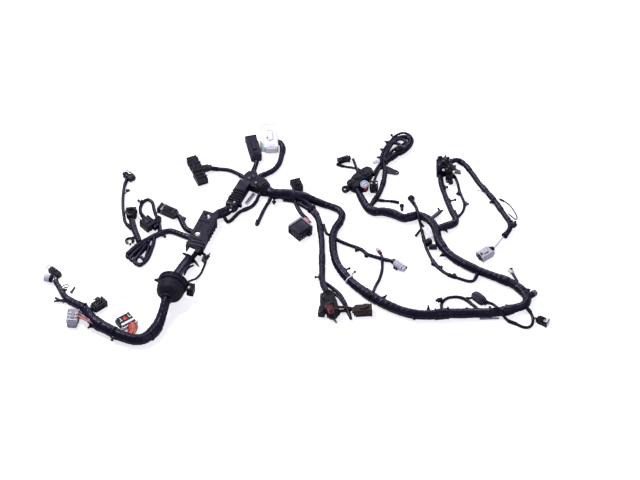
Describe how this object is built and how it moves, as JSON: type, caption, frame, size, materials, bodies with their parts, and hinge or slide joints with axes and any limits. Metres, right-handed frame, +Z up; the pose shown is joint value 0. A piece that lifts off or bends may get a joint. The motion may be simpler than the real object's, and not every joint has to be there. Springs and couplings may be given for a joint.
{
  "type": "wiring harness",
  "caption": "Vehicle wiring harness laid flat: taped trunks in a loop, thin branches ending in moulded connectors, a grommet, a bracket and a cable duct.",
  "frame": {"origin": "middle of the underside of the whole harness as it lies", "axes": "+X along its longest side, from the grommet's tail towards the looped trunk; +Y from the tail and loop side towards the top connectors; +Z up"},
  "size_m": [1.2014, 0.7014, 0.0722],
  "materials": {
    "tape": "wrapped black tape",
    "smooth_tube": "black tubing",
    "black_plastic": "satin moulded",
    "charcoal": "satin moulded",
    "grey": "satin moulded",
    "pale": "satin moulded",
    "brown": "satin moulded",
    "olive": "satin moulded",
    "pale_blue": "satin moulded",
    "rubber": "matt"
  },
  "bodies": {
    "root": {"main_trunk": "tape", "return_trunk": "tape", "neck_and_tail_trunk": "tape", "drop_trunk": "tape", "drop_right_cable": "tape", "big_connector_cable": "tape", "hub_left_cable": "smooth_tube", "hub_top_cable": "tape", "hub_right_cable": "tape", "hub_drop_cable": "tape", "hub_stub_cable": "tape", "middle_cable": "tape", "middle_link_cable": "tape", "arc_cable": "smooth_tube", "pad_cable": "tape", "pad_tail_cable": "smooth_tube", "mast_cable": "tape", "mast_inner_cable": "smooth_tube", "arm_cable": "tape", "upper_left_cable": "tape", "lower_left_cable": "tape", "folded_cable": "tape", "ring_cable": "smooth_tube", "tall_cable": "smooth_tube", "wrapped_bundle": "tape", "neck_loop_cable": "smooth_tube", "module_loop_cable": "tape", "module_branch_cable": "tape", "module_left_cable": "smooth_tube", "side_cable": "smooth_tube", "grommet": "rubber", "grommet_side_box": "black_plastic", "bracket": "charcoal", "duct": "black_plastic", "hub": "black_plastic", "bar_connector": "black_plastic", "top_connector": "charcoal", "pale_connector": "pale", "bridge_connector": "black_plastic", "big_connector": "charcoal", "drop_connector": "black_plastic", "brown_connector": "brown", "silver_connector": "grey", "pad": "charcoal", "right_end_connector": "black_plastic", "arm_connector": "grey", "mast_connector": "black_plastic", "module_housing": "black_plastic", "round_connector": "pale_blue", "dark_connector": "black_plastic", "eared_plate": "black_plastic", "left_connector": "olive", "ribbed_block": "charcoal", "tall_connector": "black_plastic", "holder_block": "black_plastic", "tail_connector": "black_plastic", "tail_round_connector": "grey", "multi_way_connector": "grey", "tail_black_connector": "black_plastic", "two_tone_connector": "black_plastic"}
  },
  "joints": []
}
